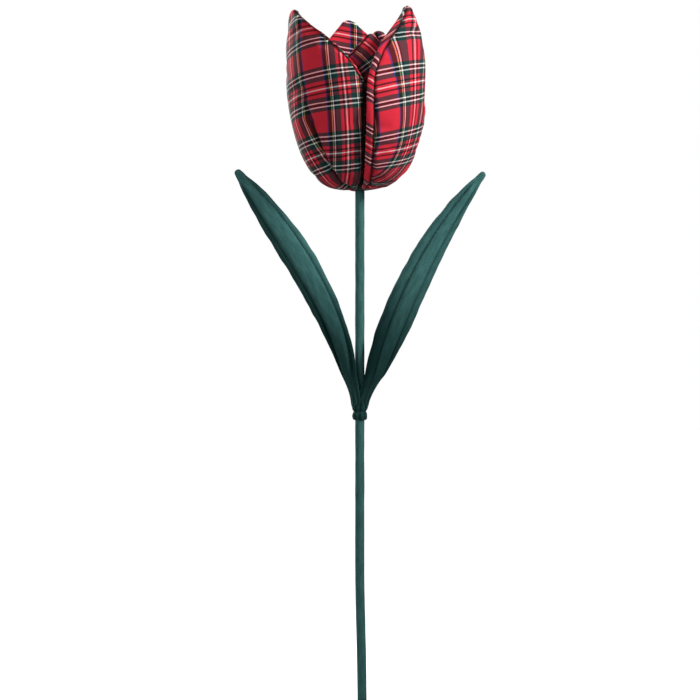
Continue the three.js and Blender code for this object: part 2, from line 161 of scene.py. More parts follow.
def cloth_material(name, group, painted_shade_colour, relief, relief_depth, **constants):
    """A cloth from its node group, with painted shade where its mesh's fold value is high."""
    material, tree, shader = new_material(name, **constants)
    cloth = add_node(tree, "ShaderNodeGroup", node_tree=group)
    place = add_node(tree, "ShaderNodeUVMap", uv_map="cloth").outputs["UV"]
    tree.links.new(place, cloth.inputs["Cloth"])
    colour = cloth.outputs["Color"]
    # the mesh's fold value is painted shade, and the cloth's colour is darkened by it
    fold = add_node(tree, "ShaderNodeAttribute", attribute_name="fold").outputs["Fac"]
    in_painted_shade = mix_colours(tree, 1.0, colour, painted_shade_colour, "MULTIPLY")
    tree.links.new(mix_colours(tree, fold, colour, in_painted_shade), shader["Base Color"])
    bump = bump_node(tree, cloth.outputs["Height"], relief, relief_depth)
    tree.links.new(bump, shader["Normal"])
    return material


print("a cloth's noise is used from", NOISE_REACH[0], "to", NOISE_REACH[1])

# %% [markdown]
# ## Tartan
# The cloth is a 2/2 twill: coloured warp threads run up each petal, coloured weft threads run across,
# and each shows half the time, so a white line over red reads pink and green over red reads brown. A
# picture of the cloth could be pasted on, but stripes worked out from the cloth's own measure stay
# sharp at any size. The pattern mirrors about a white line, so a ping-pong of the distance from that
# line feeds a ramp of stripes, once for the warp and once for the weft, and the twill's slanting ribs
# choose between the two. The fine pale lines show more strongly than an even weave would let them, as
# lines of thicker yarn do, so they are marked in the ramp and laid a little over the weave.

# %% Tartan stripes
WARP_HALF_SETT = 29.5 * MM
WEFT_HALF_SETT = 31.0 * MM
THREAD = 0.42 * MM
TWILL_THREADS = 4
FIBRE = 1.6 * THREAD
PATCH = 22 * MM
WARP_ON_TOP = (0.36, 0.64)
FIBRE_SHADES = (0.80, 1.02)
PATCH_SHADES = (-0.06, 0.06)
DARK_PULL = 3.8
WEFT_LINE_PROUD = 0.2
WARP_LINE_PROUD = 0.08
# the colour the tartan is multiplied by where shade is painted in
TARTAN_PAINTED_SHADE = (0.05, 0.04, 0.05, 1.0)


def thread(*screen, line=0.0):
    """A dye, held so that a mix of threads leans to the darker one, marked if it is a pale line."""
    return tuple(value ** (1 / DARK_PULL) for value in dye(*screen)[:3]) + (line,)


RED = thread(198, 35, 53)
BLACK = thread(5, 4, 7)
GREEN = thread(4, 47, 43)
WHITE = thread(248, 242, 236, line=1.0)
YELLOW = thread(196, 166, 98, line=1.0)
BLUE = thread(46, 52, 150)
WARP_STRIPES = (
    (0.015, WHITE), (0.050, RED), (0.090, BLACK), (0.190, RED), (0.345, GREEN), (0.390, BLACK),
    (0.422, WHITE), (0.452, BLACK), (0.484, YELLOW), (0.600, BLACK), (0.640, BLUE), (1.0, RED),
)
WEFT_STRIPES = (
    (0.016, WHITE), (0.085, RED), (0.140, BLACK), (0.245, RED), (0.390, GREEN), (0.427, WHITE),
    (0.523, BLACK), (0.560, WHITE), (0.672, GREEN), (1.0, RED),
)


def stripe_ramp(tree, distance, half_sett, stripes):
    """The thread at a distance from the middle white line: its colour, and 1 for a pale line."""
    share = sum_node(tree, "PINGPONG", sum_node(tree, "DIVIDE", distance, half_sett), 1.0)
    node = add_node(tree, "ShaderNodeValToRGB")
    ramp = node.color_ramp
    ramp.interpolation = "CONSTANT"
    ramp.elements.remove(ramp.elements[1])
    start = 0.0
    for index, (end, colour) in enumerate(stripes):
        element = ramp.elements[0] if index == 0 else ramp.elements.new(start)
        element.color = colour
        start = end
    tree.links.new(share, node.inputs["Fac"])
    return node.outputs["Color"], node.outputs["Alpha"]


def dyed(tree, held):
    """A held colour made into the colour that is seen."""
    return fed_node(tree, "ShaderNodeGamma", {"Color": held, "Gamma": DARK_PULL}, "Color")


def tartan_group():
    tree, place, leave = cloth_group("Red tartan twill")
    split = add_node(tree, "ShaderNodeSeparateXYZ")
    tree.links.new(place, split.inputs[0])
    across, along = split.outputs["X"], split.outputs["Y"]
    repeat = TWILL_THREADS * THREAD / (2 * math.pi)
    slant = sum_node(tree, "DIVIDE", sum_node(tree, "ADD", across, along), repeat)
    rib = sum_node(tree, "SINE", slant)
    weft = stripe_ramp(tree, along, WEFT_HALF_SETT, WEFT_STRIPES)
    warp = stripe_ramp(tree, across, WARP_HALF_SETT, WARP_STRIPES)
    warp_on_top = range_node(tree, rib, -1.0, 1.0, *WARP_ON_TOP)
    woven = dyed(tree, mix_colours(tree, warp_on_top, weft[0], warp[0]))
    for (colour, line), proud in ((weft, WEFT_LINE_PROUD), (warp, WARP_LINE_PROUD)):
        on_top = sum_node(tree, "MULTIPLY", line, proud)
        woven = mix_colours(tree, on_top, woven, dyed(tree, colour))
    fibre = noise_node(tree, place, FIBRE, detail=3.0, roughness=0.65)
    fibre_shade = range_node(tree, fibre, *NOISE_REACH, *FIBRE_SHADES)
    patch_shade = range_node(tree, noise_node(tree, place, PATCH), *NOISE_REACH, *PATCH_SHADES)
    shade = sum_node(tree, "ADD", fibre_shade, patch_shade)
    tree.links.new(mix_colours(tree, 1.0, woven, shade, "MULTIPLY"), leave["Color"])
    tree.links.new(sum_node(tree, "ADD", rib, fibre), leave["Height"])
    return tree


tartan = cloth_material(
    "padded red tartan", tartan_group(), TARTAN_PAINTED_SHADE, relief=0.22, relief_depth=0.25 * MM,
    Roughness=0.85, Specular_IOR_Level=0.16,
    Sheen_Weight=0.03, Sheen_Roughness=0.5, Sheen_Tint=dye(255, 214, 210),
)
print("tartan repeat:", round(2 * WARP_HALF_SETT / MM), "by", round(2 * WEFT_HALF_SETT / MM), "mm")

# %% [markdown]
# ## The shape of a petal
# A petal is a pouch: an outer face, and a lining that rolls over the edge, so that the seam lies a
# little inside the edge on the outer side. It could be modelled by hand from a cube, but all six
# petals follow one rule, so each is worked out from its cup line, the curve from the stem up to the
# tip, and from how wide and thick it is there. Azimuths are in degrees from the front, towards the
# right. The left petal tucks under the right one at the front, so its seam there lies close to the
# edge. The inner petals' seams do so all round.

# %% Petal sizes
core_low, core_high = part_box("flower_core")
HEAD_FOOT = np.array([(core_low.x + core_high.x) / 2, (core_low.y + core_high.y) / 2, core_low.z])
ROOT_RADIUS = 6.3 * MM
PETAL_GAP = 1.2 * MM
ROOT_THICKNESS = 6.2 * MM
TIP_THICKNESS = 6.4 * MM
TIP_HALF_WIDTH = 4 * MM
SEAM_INSET = 7 * MM
INNER_INSET = 2.6 * MM
FREE_INSET = 3.4 * MM
TUCKED_INSET = 1 * MM
TIP_INSET_SHARE = 0.55
SEAM_SHARE = 0.3
SECTION_POWER = 2.6
CUP_POINTS = 401
BOWL_SHARE = 0.5
BOWL_RISE = 4 / 3
WALL_LEAN = 1.7
# each form says how much painted shade darkens the lower inside of the cup: none on the outer petals, most
# on the inner ones
OUTER = dict(
    shoulder=88 * MM, thickness=10 * MM, floor=0.0, bowl=0.58, inset=SEAM_INSET,
    dart=(35, 22), tucks=False, painted_cup_shade=0.0,
)
INNER = dict(
    shoulder=92 * MM, thickness=8 * MM, floor=11.5 * MM, bowl=0.58, inset=INNER_INSET,
    dart=None, tucks=False, painted_cup_shade=0.75,
    radius=49.5 * MM, waist=70 * MM, mouth=38 * MM, taper=1.3, crowns=(3 * MM, 3 * MM),
)
PETAL_FORMS = {
    "petal_right": dict(
        OUTER, tip=62, seams=(5.5, 125), height=171.5 * MM, radius=65 * MM, waist=77 * MM,
        mouth=54 * MM, taper=2.0, crowns=(0.5 * MM, 4 * MM), bowl=0.62,
    ),
    "petal_back": dict(
        OUTER, tip=191, seams=(125, 242), height=171 * MM, radius=66 * MM, waist=90 * MM,
        mouth=60 * MM, taper=1.6, crowns=(4 * MM, 4 * MM),
    ),
    "petal_left": dict(
        OUTER, tip=-73, seams=(-118, 5.5), height=168 * MM, radius=70 * MM, waist=104 * MM,
        mouth=68 * MM, taper=1.6, crowns=(4 * MM, 9 * MM), bowl=0.555, tucks=True,
    ),
    "inner_petal_front": dict(INNER, tip=18, seams=(-46, 74), height=144 * MM),
    "inner_petal_right": dict(INNER, tip=150, seams=(74, 189), height=157 * MM),
    "inner_petal_left": dict(INNER, tip=-112, seams=(-171, -46), height=138 * MM),
}


def lerp(first, second, share):
    return first + (second - first) * share


def smoothstep(value, low, high):
    share = np.clip((value - low) / (high - low), 0, 1)
    return share * share * (3 - 2 * share)


def rounded(value, power=SECTION_POWER):
    """A sine or cosine squared off, so that a round section becomes a padded one."""
    return np.sign(value) * np.abs(value) ** (2 / power)


def cup_line(form):
    """Distance along a petal's outer face, and radius and height there: a bowl, then a wall."""
    share = np.linspace(0, 1, CUP_POINTS)
    turn = np.clip(share / BOWL_SHARE, 0, 1) * math.pi / 2
    wall = np.clip((share - BOWL_SHARE) / (1 - BOWL_SHARE), 0, 1)
    bowl_top = form["floor"] + form["waist"]
    bowl_radius = form["radius"] * np.sin(turn) ** form["bowl"]
    bowl_height = form["floor"] + form["waist"] * (1 - np.cos(turn).clip(0) ** BOWL_RISE)
    radius = np.where(wall > 0, lerp(form["radius"], form["mouth"], wall**WALL_LEAN), bowl_radius)
    height = np.where(wall > 0, lerp(bowl_top, form["height"], wall), bowl_height)
    run = np.concatenate([[0], np.cumsum(np.hypot(np.diff(radius), np.diff(height)))])
    return run, radius, height


print("head stands at", [round(float(value) / MM, 1) for value in HEAD_FOOT], "mm")

# %% [markdown]
# ## A petal's section
# Across a petal the pouch is walked all round: over the face from seam to seam, round one rolled lip,
# back over the lining and round the other lip. Each outer petal also has a dart, a short stitched tuck
# from the stem up its face that draws the flat cloth into a bowl. Columns of the mesh run along the
# seams and the dart, so that these stay crisp when the pouch is stuffed. Stitches gather the cloth
# beside them, so it puckers there. Shade is painted into the folds, into the strip under the next
# petal and into the inside of the cup, where little light gets in.

# %% Petal section
PLUS_COLUMNS = 20
MINUS_COLUMNS = 26
LIP_COLUMNS = 8
LINING_COLUMNS = 30
FACE_COLUMNS = PLUS_COLUMNS + MINUS_COLUMNS
COLUMNS = FACE_COLUMNS + 4 * LIP_COLUMNS + LINING_COLUMNS
CLUSTER = 0.75
STEP = 0.2 * MM
FULL_SHARE = 0.3
ARCH_SHARE = 0.4
SEWN_SHARE = 0.08
TIP_SHARE = 0.55
OUTSIDE_SINE = 0.3
TUCK_HEIGHTS = (80 * MM, 106 * MM)
# painted shade inside the cup between these heights, painted shadow this far under the next petal, and less
# painted shade on a free edge
CUP_SHADE_HEIGHTS = (96 * MM, 140 * MM)
TUCK_SHADE_REACH = 5 * MM
FREE_EDGE_LIGHT = 0.55
SLACK = 1.6 * MM
SLACK_REACH = 12 * MM
SEAM_ROLL = 3.2 * MM
# how the painted shade falls off beside a seam
SEAM_SHADE_POWER = 0.7
PUCKER_DEPTH = 1.0 * MM
PUCKER_REACH = 7 * MM
PUCKER_SIZE = 6 * MM
PUCKER_STRETCH = 3
DART_ROLL = 6 * MM
# how the painted shade falls off in the dart
DART_SHADE_POWER = 1.3
DART_LIMIT = 0.62
DART_TOP = 74 * MM
DART_FADE = (0.72 * DART_TOP, 1.25 * DART_TOP)
DART_SWALLOWS = 63 * MM


def clustered(start, end, count):
    """Places from start to end, closer together towards both."""
    share = np.linspace(0, 1, count + 1)
    return lerp(start, end, share - CLUSTER * np.sin(2 * math.pi * share) / (2 * math.pi))


def rolled_in(distance, roll):
    """How deep cloth lies at a distance from a line of stitches that it rolls down to."""
    return roll * (1 - np.sqrt(1 - (1 - np.clip(np.abs(distance) / roll, 0, 1)) ** 2))


def lump(place, size):
    """Smooth unevenness from -1 to 1 with bumps of about that size."""
    return noise.noise(Vector(place) / size)


def section_angle(across):
    """The angle round a padded section at which it is so far across."""
    return np.arccos(np.sign(across) * np.abs(across) ** (SECTION_POWER / 2))


def by_side(across, pair):
    """The first of a pair on the minus side of the tip's line, the second on the plus side."""
    return np.where(across > 0, pair[1], pair[0])


class Petal:
    """Where every point of one petal lies, row by row from its root to its tip."""

    def __init__(self, form):
        self.form = form
        self.tip = math.radians(form["tip"])
        self.run, self.radius, self.height = cup_line(form)

    def on_line(self, along):
        radius = np.interp(along, self.run, self.radius)
        return np.array([radius, np.interp(along, self.run, self.height)])

    def row(self, share, swell=1.0, beyond=0.0):
        """One row of the pouch. swell shrinks it to its middle, and beyond moves it along the petal."""
        along = lerp(ROOT_RADIUS, self.run[-1], share)
        ahead = self.on_line(along + STEP) - self.on_line(along - STEP)
        ahead /= np.linalg.norm(ahead)
        normal = np.array([ahead[1], -ahead[0]])
        fade = smoothstep(share, TIP_SHARE, 1)
        full = lerp(ROOT_THICKNESS, self.form["thickness"], smoothstep(share, 0, FULL_SHARE))
        half = lerp(full, TIP_THICKNESS, fade**2) / 2
        middle = self.on_line(along) - normal * half
        widths = self.widths(middle)
        tucked = self.form["tucks"] * (1 - smoothstep(middle[1], *TUCK_HEIGHTS))
        sewn = smoothstep(share, 0, SEWN_SHARE)
        return dict(
            along=along + beyond, middle=middle + ahead * beyond, normal=normal, half=half, swell=swell,
            arch=smoothstep(share, 0, ARCH_SHARE) * (1 - fade), widths=widths, sewn=sewn, tucked=tucked,
            seams=1 - self.insets(widths, tucked, fade) / widths,
            dart=self.dart(middle, widths[1]), tuck=self.tuck(middle) * sewn,
        )

    def widths(self, middle):
        """How far the petal reaches to each side of its tip's line."""
        form = self.form
        above = (middle[1] - form["shoulder"]) / (form["height"] - form["shoulder"])
        narrow = np.clip(above, 0, 1) ** form["taper"]
        spreads = np.radians([form["tip"] - form["seams"][0], form["seams"][1] - form["tip"]])
        return lerp(spreads * middle[0] - PETAL_GAP / 2, TIP_HALF_WIDTH, narrow)

    def insets(self, widths, tucked, fade):
        """How far inside the edges the seams lie."""
        insets = np.minimum(self.form["inset"], SEAM_SHARE * widths)
        if self.form["tucks"]:
            insets[1] = min(insets[1], lerp(FREE_INSET, TUCKED_INSET, tucked))
            insets *= lerp(1, TIP_INSET_SHARE, fade)
        return insets

    def dart(self, middle, width):
        """How far across the plus side the dart lies, from 0 on the tip's line to 1 at the edge."""
        if self.form["dart"] is None:
            return 0.0
        low, high = np.radians(self.form["dart"])
        turn = lerp(low, high, smoothstep(middle[1], 0, DART_TOP))
        return min(turn * middle[0] / width, DART_LIMIT)

    def tuck(self, middle):
        """How deep the dart is drawn in at a height, from 0 to 1."""
        if self.form["dart"] is None:
            return 0.0
        return 1 - smoothstep(middle[1], *DART_FADE)

    def angles(self, row):
        """Angles round the section at each column, from the plus seam over the face and back."""
        minus, plus = row["seams"]
        turn = 2 * math.pi
        before_dart = clustered(plus, row["dart"], PLUS_COLUMNS)[:-1]
        face = np.concatenate([before_dart, clustered(row["dart"], -minus, MINUS_COLUMNS)])
        lining = np.linspace(-minus, plus, LINING_COLUMNS + 1)
        face_angles, lining_angles = section_angle(face), turn - section_angle(lining)
        minus_lip = np.linspace(face_angles[-1], lining_angles[0], 2 * LIP_COLUMNS + 1)[1:-1]
        plus_lip = np.linspace(lining_angles[-1], turn + face_angles[0], 2 * LIP_COLUMNS + 1)[1:]
        return np.concatenate([face_angles, minus_lip, lining_angles, plus_lip])

    def relief(self, row, across, width, outside):
        """How far the outer side sinks at seams and dart and for stuffing to come, and its painted shade.
        """
        from_seam = (by_side(across, row["seams"]) - np.abs(across)) * width
        from_dart = (across - row["dart"]) * width
        crease = rolled_in(from_seam, SEAM_ROLL)
        dart = row["tuck"] * rolled_in(from_dart, DART_ROLL)
        slack = SLACK * smoothstep(from_seam, 0, SLACK_REACH)
        by_seam = np.exp(-np.abs(from_seam) / PUCKER_REACH) * row["sewn"]
        by_dart = np.exp(-np.abs(from_dart) / PUCKER_REACH) * row["tuck"]
        places = [(a, row["along"], self.tip) for a in across * width / PUCKER_STRETCH]
        bumps = [lump(place, PUCKER_SIZE) for place in places]
        pucker = PUCKER_DEPTH * np.maximum(by_seam, by_dart) * bumps
        sunk = (pucker - crease * row["sewn"] - dart - slack * row["arch"]) * outside
        return sunk, self.folds(row, from_seam, crease, dart, across > 0, outside)

    def folds(self, row, from_seam, crease, dart, plus, outside):
        """Painted shade in the seams, in the dart, inside the cup and under the next petal."""
        # painted shade beside the seams, less of it on the free edge, and in the dart
        seam = (crease / SEAM_ROLL * row["sewn"]) ** SEAM_SHADE_POWER
        seam *= 1 - self.form["tucks"] * (1 - row["tucked"]) * FREE_EDGE_LIGHT * plus
        fold = (seam + (dart / DART_ROLL) ** DART_SHADE_POWER) * outside
        # painted shade low inside the cup
        fold += self.form["painted_cup_shade"] * (1 - smoothstep(row["middle"][1], *CUP_SHADE_HEIGHTS))
        # painted shadow of the next petal's lip on the strip tucked under it
        fold += row["tucked"] * (1 - smoothstep(from_seam, 0, TUCK_SHADE_REACH)) * plus
        return np.clip(fold, 0, 1)

    def points(self, row):
        """The section's points, their painted shade, how far across, the half width there, and which side.
        """
        angles = self.angles(row)
        across = rounded(np.cos(angles))
        outside = smoothstep(np.sin(angles), 0, OUTSIDE_SINE)
        width = by_side(across, row["widths"])
        crown = by_side(across, self.form["crowns"]) * row["arch"]
        sunk, fold = self.relief(row, across, width, outside)
        rise = (rounded(np.sin(angles)) * row["half"] + sunk - crown * across**2) * row["swell"]
        radius = row["middle"][0] + row["normal"][0] * rise
        height = row["middle"][1] + row["normal"][1] * rise
        turn = self.tip + across * row["swell"] * width / row["middle"][0]
        places = np.stack([radius * np.sin(turn), -radius * np.cos(turn), height], axis=1)
        return places + HEAD_FOOT, fold, across * width, width, np.sin(angles) > 0


print("columns round a petal:", COLUMNS)

# %% [markdown]
# ## How the cloth lies
# Each face is cut from the flat cloth, so its warp keeps its spacing up the petal while the edges
# curve across it. One line of the warp stays straight, the dart swallows what is too much on its far
# side, and the lining has a lie of its own. A lie says where the cloth's threads are on the petal: for
# the warp how far the middle white line is shifted, how much it leans, how wide the cloth spreads and
# how it closes towards the stem, and for the weft how far it is shifted, how much it falls, how fast
# it rises and how it fans out. A kink is what the dart bends the weft by. These become each mesh's
# cloth map, in metres of cloth.

# %% Lie of the cloth
LIE_HEIGHT = 110 * MM
PLAIN_LIE = (0.0, 0.0, 1.0, 0.0)


def cloth_lie(straight, warp, weft, kink=0.0):
    """A lie whose warp and weft are plain where nothing else is said."""
    warp, weft = (said + PLAIN_LIE[len(said):] for said in (warp, weft))
    return dict(straight=straight, warp=warp, weft=weft, kink=kink)


FACE_LIES = {
    "petal_right": cloth_lie(24, warp=(-52.6, 0.205, 1.05, -8.6), weft=(-126.6, -0.265, 0.99, 1.2)),
    "petal_back": cloth_lie(175, warp=(4, 0.07), weft=(-104, 0.05), kink=0.10),
    "petal_left": cloth_lie(18, warp=(17.2, 0.146, 1.016, 0.3), weft=(-123, -0.071, 0.92, -1.6), kink=0.10),
    "inner_petal_front": cloth_lie(18, warp=(-93.6, 0.66, 0.82), weft=(-110.5, -0.71, 0.94)),
    "inner_petal_right": cloth_lie(130, warp=(-27, 0.36), weft=(-97, -0.36)),
    "inner_petal_left": cloth_lie(-112, warp=(4, -0.14), weft=(-112, 0.14)),
}
LINING_LIES = {
    "petal_right": cloth_lie(9, warp=(33,), weft=(-75.5, -0.55)),
    "petal_back": cloth_lie(191, warp=(20,), weft=(-194, -0.14)),
    "petal_left": cloth_lie(-73, warp=(-20,), weft=(-140, -0.5)),
    "inner_petal_front": cloth_lie(18, warp=(-60, 0.58), weft=(-130, -0.58)),
    "inner_petal_right": cloth_lie(130, warp=(18, -0.27), weft=(-122, 0.27)),
    "inner_petal_left": cloth_lie(-112, warp=(-11, 0.21), weft=(-91, -0.21)),
}


def lay(across, along, lie):
    """Distances on the petal made into distances on the cloth from a crossing of white lines."""
    closing = across * (along - LIE_HEIGHT)
    shift, lean, spread, close = lie["warp"]
    lag, fall, rise, fan = lie["weft"]
    warp = shift * MM + lean * along + spread * across + close * closing
    weft = lag * MM + fall * across + rise * along + fan * closing
    return np.stack([warp, weft], axis=-1)


def straight_line(petal, row, lie):
    """How far the line that stays straight lies from the tip's meridian."""
    return (petal.tip - math.radians(lie["straight"])) * row["middle"][0]


def dart_place(petal, row, lie):
    return straight_line(petal, row, lie) + row["dart"] * row["widths"][1]


def cloth_maps(petal, row, arc, width, outside, dart_start, name):
    """Cloth coordinates of a row's columns as face before the dart, face beyond it, and lining."""
    face_lie, lining_lie = FACE_LIES[name], LINING_LIES[name]
    across = straight_line(petal, row, face_lie) + arc
    below_top = row["middle"][1] < DART_SWALLOWS
    swallowed = dart_place(petal, row, face_lie) - dart_start if below_top else 0.0
    bent = np.minimum(arc - row["dart"] * row["widths"][1], 0) * face_lie["kink"]
    rolled = np.where(outside, np.sign(arc) * (2 * width - np.abs(arc)), arc)
    along = np.full_like(arc, row["along"])
    return (
        lay(across, along, face_lie),
        lay(across - swallowed, along - bent, face_lie),
        lay(straight_line(petal, row, lining_lie) + rolled, along, lining_lie),
    )


print("lies set for", len(FACE_LIES), "faces and", len(LINING_LIES), "linings")

# %% [markdown]
# ## Sewing a pouch
# The mesh starts as a flat grid with a column for each place round the section and a row for each
# place along the petal, as a piece of cloth does. Moving the grid's points onto the section rolls it
# up, merging doubles sews the long edge and closes both ends, and the cloth map is written before
# that, while each strip is still flat.

# %% Petal pouches
BODY_ROWS = 62
DOME_ROWS = 4
ROOT_STITCH_ROWS = 3
TIP_DOME = 3.4 * MM
ROOT_DOME = 1.2 * MM
FACE_ROOM = 3.0 * MM
LIP_ROOM = 0.5 * MM
SEWN_TOGETHER = 0.001 * MM


def petal_rows(petal):
    """Rows from a small dome at the root to a rounded dome at the tip."""
    quarter = np.linspace(0, math.pi / 2, DOME_ROWS + 1)
    last = 1 - TIP_DOME / (petal.run[-1] - ROOT_RADIUS)
    root = [petal.row(0.0, math.cos(a), -ROOT_DOME * math.sin(a)) for a in quarter[:0:-1]]
    body = [petal.row(share) for share in np.linspace(0, last, BODY_ROWS + 1)]
    tip = [petal.row(last, math.cos(a), TIP_DOME * math.sin(a)) for a in quarter[1:]]
    return root + body + tip


def rolled_grid(points, maps, piece_of_column=lambda column: 0, folds=None, sewn=None, room=None):
    """A grid rolled up onto points, with its cloth map, painted shade and, if stuffed, stitches and room.
    """
    rows, columns = points.shape[0] - 1, points.shape[1] - 1
    bm = bmesh.new()
    bmesh.ops.create_grid(bm, x_segments=columns, y_segments=rows, size=0.5)
    bm.verts.index_update()
    seats = [(round((v.co.y + 0.5) * rows), round((v.co.x + 0.5) * columns)) for v in bm.verts]
    cloth = bm.loops.layers.uv.new("cloth")
    # the fold values are painted shade, read by the cloth materials
    for label, values in (("fold", folds), ("room", room)):
        if values is not None:
            layer = bm.verts.layers.float.new(label)
            for v in bm.verts:
                v[layer] = values[seats[v.index]]
    if sewn is not None:
        stitches = bm.verts.layers.deform.verify()
        for v in bm.verts:
            v[stitches][0] = sewn[seats[v.index]]
    for face in bm.faces:
        cloth_piece = piece_of_column(min(seats[v.index][1] for v in face.verts))
        for loop in face.loops:
            loop[cloth].uv = maps[cloth_piece][seats[loop.vert.index]]
    for v in bm.verts:
        v.co = points[seats[v.index]]
    bmesh.ops.remove_doubles(bm, verts=bm.verts, dist=SEWN_TOGETHER)
    bmesh.ops.recalc_face_normals(bm, faces=bm.faces)
    return bm


def new_piece(name, bm, material):
    """A finished mesh at the origin, smooth shaded."""
    mesh = bpy.data.meshes.new(name)
    bm.to_mesh(mesh)
    bm.free()
    mesh.materials.append(material)
    mesh.shade_smooth()
    piece = bpy.data.objects.new(name, mesh)
    bpy.context.scene.collection.objects.link(piece)
    return piece


def petal_map(column):
    """Which cloth map a column takes: face before the dart, face beyond it, or lining."""
    return 0 if column < PLUS_COLUMNS else 1 if column < FACE_COLUMNS else 2


def petal_pouch(name):
    petal = Petal(PETAL_FORMS[name])
    rows = petal_rows(petal)
    top = next(row for row in rows if row["middle"][1] >= DART_SWALLOWS)
    dart_start = dart_place(petal, top, FACE_LIES[name])
    sections = [petal.points(row) for row in rows]
    points, folds = (np.stack([section[i] for section in sections]) for i in range(2))
    maps = [
        cloth_maps(petal, row, *section[2:], dart_start, name) for row, section in zip(rows, sections)
    ]
    maps = [np.stack([row_maps[i] for row_maps in maps]) for i in range(3)]
    sewn, room = np.zeros(points.shape[:2]), np.full(points.shape[:2], LIP_ROOM)
    sewn[:, [0, FACE_COLUMNS, COLUMNS]] = 1.0
    sewn[:, PLUS_COLUMNS] = [row["tuck"] for row in rows]
    sewn[: DOME_ROWS + ROOT_STITCH_ROWS] = 1.0
    room[:, 1:FACE_COLUMNS] = FACE_ROOM
    grid = rolled_grid(points, maps, petal_map, folds, sewn, room)
    pouch = new_piece(f"{name}_pouch", grid, tartan)
    pouch.vertex_groups.new(name="sewn")
    return pouch


petal_pouches = {name: petal_pouch(name) for name in PETAL_FORMS}
print("pouches:", {name: len(piece.data.vertices) for name, piece in petal_pouches.items()})

# %% [markdown]
# ## Stuffing
# Wadding presses a pouch out everywhere but along its stitches. A cloth simulation shows that best:
# the seams, the dart and the root are pinned, gravity is off, and a steady pressure swells the rest
# for twenty frames. That much pressure alone would push far further than wadding does, so a cap says
# how far each point may move and the simulation says which way. The cap also keeps the petals clear of
# each other. The result is written into the mesh.

# %% Stuffing the petals
STUFFING_FRAMES = 20
STUFFED_CLOTH = dict(
    quality=6, mass=0.02, tension_stiffness=12, compression_stiffness=12, shear_stiffness=8,
    bending_stiffness=0.4, use_pressure=True, uniform_pressure_force=14.0,
    vertex_group_mass="sewn", shrink_min=-0.025,
)
LEAST_MOVE = 1e-9


def add_stuffing(piece):
    modifier = piece.modifiers.new("stuffing", "CLOTH")
    modifier.point_cache.frame_end = STUFFING_FRAMES
    modifier.collision_settings.use_collision = False
    for key, value in STUFFED_CLOTH.items():
        setattr(modifier.settings, key, value)
    modifier.settings.effector_weights.gravity = 0


def settle(piece):
    """Keeps what the stuffing did, no further than each point's room, and takes the simulation off."""
    mesh = piece.data
    shape = piece.evaluated_get(bpy.context.evaluated_depsgraph_get()).data
    before, after = np.empty(3 * len(mesh.vertices)), np.empty(3 * len(mesh.vertices))
    mesh.vertices.foreach_get("co", before)
    shape.vertices.foreach_get("co", after)
    room = np.empty(len(mesh.vertices))
    mesh.attributes["room"].data.foreach_get("value", room)
    move = (after - before).reshape(-1, 3)
    length = np.maximum(np.linalg.norm(move, axis=1), LEAST_MOVE)
    capped = room * np.tanh(length / room)
    piece.modifiers.clear()
    mesh.vertices.foreach_set("co", before + (move * (capped / length)[:, None]).ravel())
    mesh.update()
    return float(length.max()), float(capped.max())


for piece in petal_pouches.values():
    add_stuffing(piece)
for number in range(1, STUFFING_FRAMES + 1):
    bpy.context.scene.frame_set(number)
for name, piece in petal_pouches.items():
    pushed, kept = settle(piece)
    print(f"{name}: stuffing pushed {pushed / MM:.1f} mm, kept {kept / MM:.1f} mm")
bpy.context.scene.frame_set(1)

# %% [markdown]
# ## Hanging the petals on the model
# A pouch stands for its face, lining and padding, which then aren't shown. The outer petals open on
# the wire at their root, and their pouches stay where they are made. The inner ones stay with the
# head. One subdivision rounds the mesh off.


def round_off(piece):
    finish = piece.modifiers.new("round off", "SUBSURF")
    finish.levels = finish.render_levels = 1


def hang_petal(name, piece):
    piece.data.attributes.remove(piece.data.attributes["room"])
    piece.vertex_groups.clear()
    round_off(piece)
    if name.startswith("inner"):
        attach(piece, "flower_head")
    else:
        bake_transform(piece)
    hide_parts(f"{name}_face", f"{name}_lining", f"{name}_padding")


for name, piece in petal_pouches.items():
    hang_petal(name, piece)
print("petals hung:", len(petal_pouches))

# %% [markdown]
# ## Velvet
# The stem, the leaves and the binding are one dark green velvet. Its pile is dark seen straight on and
# pale where it is seen along the surface, which is what sheen is for. Stroking leaves long streaks, so
# one noise is drawn out along the piece, and a fine one gives the pile its grain. In creases, towards
# the root, over the binding and on wings turned from the light, shade is painted in: the meshes mark it
# as a fold, and the velvet is darkened nearly to black there.

# %% Velvet nap
VELVET_DEEP = dye(22, 56, 55)
VELVET_LIT = dye(72, 117, 114)
# the colour the velvet is multiplied by where shade is painted in
VELVET_PAINTED_SHADE = (0.03, 0.12, 0.12, 1.0)
PILE = 0.45 * MM
STROKE = 3.2 * MM
STROKE_DRAWN_OUT = (1.0, 0.22, 1.0)
STROKE_REACH = (0.3, 0.7)
STROKE_LIGHTS = (0.3, 0.62)
PILE_LIGHTS = (-0.26, 0.26)


def velvet_group():
    tree, place, leave = cloth_group("Green velvet nap")
    inputs = {0: place, 1: STROKE_DRAWN_OUT}
    drawn_out = fed_node(tree, "ShaderNodeVectorMath", inputs, 0, operation="MULTIPLY")
    stroke = noise_node(tree, drawn_out, STROKE, detail=3.0)
    pile = noise_node(tree, place, PILE, roughness=0.6)
    stroke_light = range_node(tree, stroke, *STROKE_REACH, *STROKE_LIGHTS)
    pile_light = range_node(tree, pile, *NOISE_REACH, *PILE_LIGHTS)
    lit = sum_node(tree, "ADD", stroke_light, pile_light)
    tree.links.new(mix_colours(tree, lit, VELVET_DEEP, VELVET_LIT), leave["Color"])
    tree.links.new(pile, leave["Height"])
    return tree


velvet = cloth_material(
    "green velvet", velvet_group(), VELVET_PAINTED_SHADE, relief=0.3, relief_depth=0.3 * MM,
    Roughness=0.9, Specular_IOR_Level=0.06,
    Sheen_Weight=0.1, Sheen_Roughness=0.35, Sheen_Tint=dye(120, 190, 182),
)
print("velvet pile grain:", round(PILE / MM, 2), "mm")
